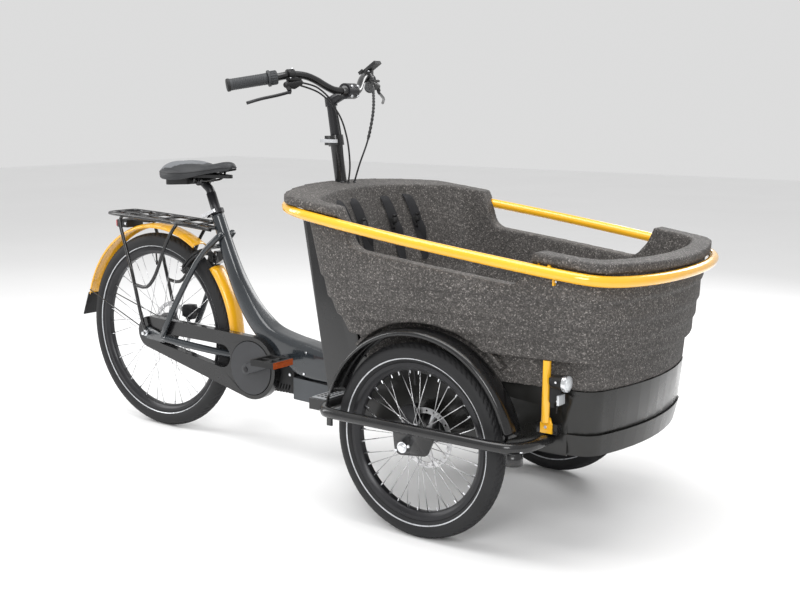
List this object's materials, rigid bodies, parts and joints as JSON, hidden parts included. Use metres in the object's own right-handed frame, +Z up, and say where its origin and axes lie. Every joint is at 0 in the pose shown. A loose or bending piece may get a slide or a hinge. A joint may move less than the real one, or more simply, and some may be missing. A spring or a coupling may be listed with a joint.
{
  "type": "cargo tricycle",
  "caption": "Electric cargo cycle with an open moulded child box between small front wheels that steer as one unit, and a belt-driven rear frame with saddle, rack and motor.",
  "frame": {"origin": "middle of the overall length and width, on the ground", "axes": "+X forwards towards the box, +Y to the rider's left, +Z up"},
  "size_m": [2.279, 0.88, 1.2351],
  "materials": {
    "frame_paint": "gloss",
    "cover_grey": "satin",
    "black_plastic": "matte",
    "gloss_black": "gloss",
    "black_metal": "satin",
    "steel": "satin",
    "alloy": "satin",
    "black_alloy": "anodised",
    "tyre_rubber": "matte",
    "rubber": "matte",
    "yellow_paint": "gloss",
    "yellow_plastic": "gloss",
    "box_foam": "speckled matte",
    "vinyl": "satin",
    "webbing": "woven"
  },
  "bodies": {
    "frame": {"main_frame": "frame_paint", "rear_stays": "frame_paint", "battery_cover": "cover_grey", "battery_pack": "black_plastic", "drive_motor": "black_plastic", "steering_pin": "steel", "rear_rack": "black_metal", "rear_light": "black_plastic", "rear_fender": "yellow_plastic", "mudflap": "rubber", "fender_stays": "black_metal", "frame_lock": "black_plastic", "belt_guard": "gloss_black", "drive_belt": "rubber", "rear_axle": "steel", "rear_caliper": "black_alloy", "seat_collar": "black_alloy"},
    "lock_bolt": {"lock_shackle": "steel"},
    "seat_clamp_lever": {"seat_lever": "alloy"},
    "saddle": {"seatpost": "black_alloy", "saddle_rails": "black_metal", "saddle_base": "black_plastic", "saddle_pad": "vinyl"},
    "cranks": {"crank_set": "black_alloy", "front_pulley": "black_alloy"},
    "right_pedal": {"pedal_right": "black_plastic"},
    "left_pedal": {"pedal_left": "black_plastic"},
    "rear_sprocket": {"rear_pulley": "black_alloy"},
    "rear_wheel": {"rear_tyre": "tyre_rubber", "rear_rim": "black_alloy", "rear_spokes": "steel", "rear_hub": "black_alloy"},
    "front_unit": {"cargo_box": "box_foam", "box_rail": "yellow_paint", "column_shell": "gloss_black", "front_chassis": "black_metal", "front_skirt": "black_plastic", "front_fenders": "gloss_black", "guard_bars": "black_metal", "rail_struts": "yellow_paint", "headlights": "black_plastic", "child_harness": "webbing", "front_calipers": "black_alloy"},
    "right_wheel": {"right_tyre": "tyre_rubber", "right_rim": "black_alloy", "right_spokes": "steel", "right_hub": "black_alloy"},
    "left_wheel": {"left_tyre": "tyre_rubber", "left_rim": "black_alloy", "left_spokes": "steel", "left_hub": "black_alloy"},
    "handlebar_unit": {"stem_post": "black_alloy", "handlebar": "black_alloy", "bar_grips": "rubber", "bar_controls": "black_plastic", "brake_hoses": "rubber"},
    "stem_clamp_lever": {"stem_lever": "alloy"},
    "shifter": {"twist_shifter": "rubber"},
    "right_brake_lever": {"brake_lever_right": "black_alloy"},
    "left_brake_lever": {"brake_lever_left": "black_alloy"}
  },
  "joints": [
    {"name": "lock_turn", "type": "hinge", "parent": "frame", "child": "lock_bolt", "pos_m": [-0.58405, 0, 0.57516], "axis": [-0.8039, 0, 0.5948], "range_deg": [0, 60]},
    {"name": "seat_lever_turn", "type": "hinge", "parent": "frame", "child": "seat_clamp_lever", "pos_m": [-0.5234, 0, 0.74261], "axis": [0, 1, 0], "range_deg": [-150, 0]},
    {"name": "seatpost_slide", "type": "slide", "parent": "frame", "child": "saddle", "axis": [-0.3746, 0, 0.9272], "range_m": [-0.004, 0.04]},
    {"name": "crank_spin", "type": "hinge", "parent": "frame", "child": "cranks", "pos_m": [-0.2945, 0, 0.273], "axis": [0, 1, 0], "continuous": true},
    {"name": "right_pedal_spin", "type": "hinge", "parent": "cranks", "child": "right_pedal", "pos_m": [-0.13376, -0.135, 0.32835], "axis": [0, 1, 0], "continuous": true},
    {"name": "left_pedal_spin", "type": "hinge", "parent": "cranks", "child": "left_pedal", "pos_m": [-0.45524, 0.135, 0.21765], "axis": [0, 1, 0], "continuous": true},
    {"name": "sprocket_spin", "type": "hinge", "parent": "frame", "child": "rear_sprocket", "pos_m": [-0.7625, -0.048, 0.334], "axis": [0, 1, 0], "continuous": true},
    {"name": "rear_wheel_spin", "type": "hinge", "parent": "frame", "child": "rear_wheel", "pos_m": [-0.7625, 0, 0.334], "axis": [0, 1, 0], "continuous": true},
    {"name": "steering", "type": "hinge", "parent": "frame", "child": "front_unit", "pos_m": [0.3975, 0, 0.3], "axis": [0, 0, 1], "range_deg": [-28, 28]},
    {"name": "right_wheel_spin", "type": "hinge", "parent": "front_unit", "child": "right_wheel", "pos_m": [0.5675, -0.3545, 0.256], "axis": [0, 1, 0], "continuous": true},
    {"name": "left_wheel_spin", "type": "hinge", "parent": "front_unit", "child": "left_wheel", "pos_m": [0.5675, 0.3545, 0.256], "axis": [0, 1, 0], "continuous": true},
    {"name": "stem_slide", "type": "slide", "parent": "front_unit", "child": "handlebar_unit", "axis": [-0.1564, 0, 0.9877], "range_m": [-0.03, 0.05], "deforming": ["brake_hoses"]},
    {"name": "stem_lever_turn", "type": "hinge", "parent": "front_unit", "child": "stem_clamp_lever", "pos_m": [-0.01787, 0, 0.997], "axis": [0, 1, 0], "range_deg": [-150, 0]},
    {"name": "shifter_turn", "type": "hinge", "parent": "handlebar_unit", "child": "shifter", "pos_m": [-0.0245, -0.214, 1.18], "axis": [-0.6129, -0.773, -0.1637], "range_deg": [-70, 70]},
    {"name": "right_brake_pull", "type": "hinge", "parent": "handlebar_unit", "child": "right_brake_lever", "pos_m": [0.0125, -0.208, 1.138], "axis": [-0.5665, 0.5318, -0.6295], "range_deg": [0, 12], "stiffness_Nm_per_rad": 3},
    {"name": "left_brake_pull", "type": "hinge", "parent": "handlebar_unit", "child": "left_brake_lever", "pos_m": [0.0125, 0.208, 1.138], "axis": [0.5665, 0.5318, 0.6295], "range_deg": [0, 12], "stiffness_Nm_per_rad": 3}
  ],
  "couplings": [
    {"joint": "sprocket_spin", "follows": "crank_spin", "ratio": 2.0909}
  ]
}
